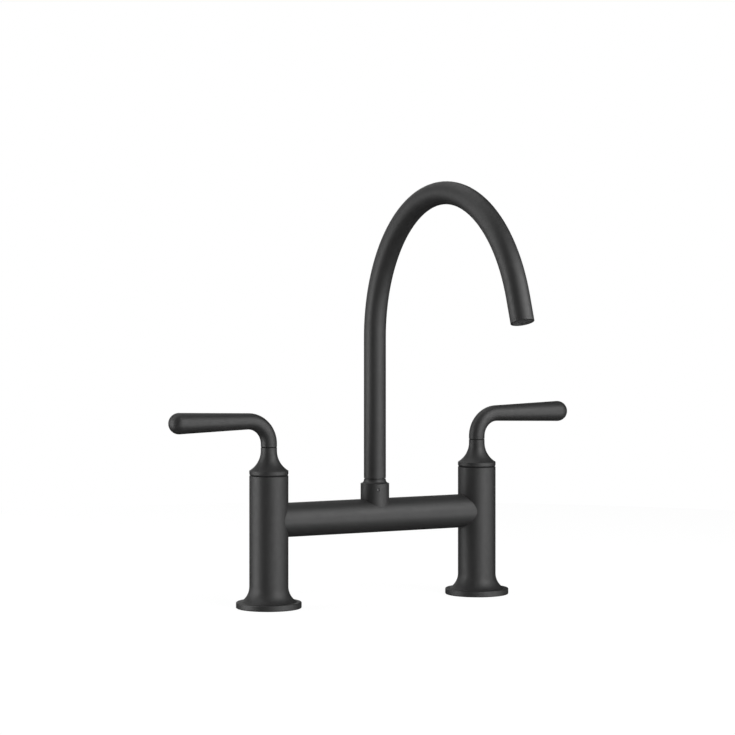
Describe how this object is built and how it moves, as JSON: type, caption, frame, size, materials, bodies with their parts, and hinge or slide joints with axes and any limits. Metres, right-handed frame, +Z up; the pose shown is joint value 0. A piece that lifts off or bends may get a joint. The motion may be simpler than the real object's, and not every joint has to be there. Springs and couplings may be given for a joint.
{
  "type": "bridge kitchen faucet",
  "caption": "Deck-mounted bridge kitchen faucet: round pillars on flared feet joined by a tube bridge, outward lever handles and a tall swivelling gooseneck spout with aerator.",
  "frame": {"origin": "on the deck, midway between the two pillars, at the centre of the two supply holes", "axes": "+X along the bridge towards the cold side, +Z up, and the spout reaches towards -Y, the user's side"},
  "size_m": [0.3872, 0.2831, 0.3595],
  "materials": {
    "black_finish": "satin black coating on brass and stainless steel",
    "brass": "machined brass",
    "ceramic": "lapped ceramic",
    "seal_rubber": "moulded rubber",
    "black_acetal": "turned plastic",
    "aerator_plastic": "moulded plastic",
    "steel": "spring steel",
    "black_screw": "black oxide"
  },
  "bodies": {
    "fixture": {"left_pillar": "black_finish", "left_base_gasket": "seal_rubber", "left_bonnet": "black_finish", "left_bonnet_bush": "black_acetal", "left_cartridge_body": "brass", "left_seat_seal": "seal_rubber", "left_cartridge_seal": "seal_rubber", "left_fixed_disc": "ceramic", "left_bridge_sleeve": "brass", "right_pillar": "black_finish", "right_base_gasket": "seal_rubber", "right_bonnet": "black_finish", "right_bonnet_bush": "black_acetal", "right_cartridge_body": "brass", "right_seat_seal": "seal_rubber", "right_cartridge_seal": "seal_rubber", "right_fixed_disc": "ceramic", "right_bridge_sleeve": "brass", "bridge_tube": "black_finish", "spout_hub": "black_finish", "upper_swivel_bush": "black_acetal", "lower_swivel_bush": "black_acetal", "hub_set_screw": "black_screw"},
    "left_handle": {"left_lever": "black_finish", "left_spindle": "brass", "left_turning_disc": "ceramic", "left_spindle_seals": "seal_rubber", "left_spindle_clip": "steel", "left_lever_screw": "black_screw"},
    "right_handle": {"right_lever": "black_finish", "right_spindle": "brass", "right_turning_disc": "ceramic", "right_spindle_seals": "seal_rubber", "right_spindle_clip": "steel", "right_lever_screw": "black_screw"},
    "spout": {"spout_tube": "black_finish", "spout_spigot": "brass", "swivel_seals": "seal_rubber", "outlet_ring": "black_finish", "aerator_washer": "seal_rubber", "aerator_shell": "aerator_plastic", "aerator_grid": "aerator_plastic", "aerator_jet_plate": "aerator_plastic"}
  },
  "joints": [
    {"name": "left_lever_turn", "type": "hinge", "parent": "fixture", "child": "left_handle", "pos_m": [-0.1016, 0, 0.1583], "axis": [0, 0, 1], "range_deg": [0, 90]},
    {"name": "right_lever_turn", "type": "hinge", "parent": "fixture", "child": "right_handle", "pos_m": [0.1016, 0, 0.1583], "axis": [0, 0, 1], "range_deg": [-90, 0]},
    {"name": "spout_swivel", "type": "hinge", "parent": "fixture", "child": "spout", "pos_m": [0, 0, 0.106], "axis": [0, 0, 1], "continuous": true}
  ]
}
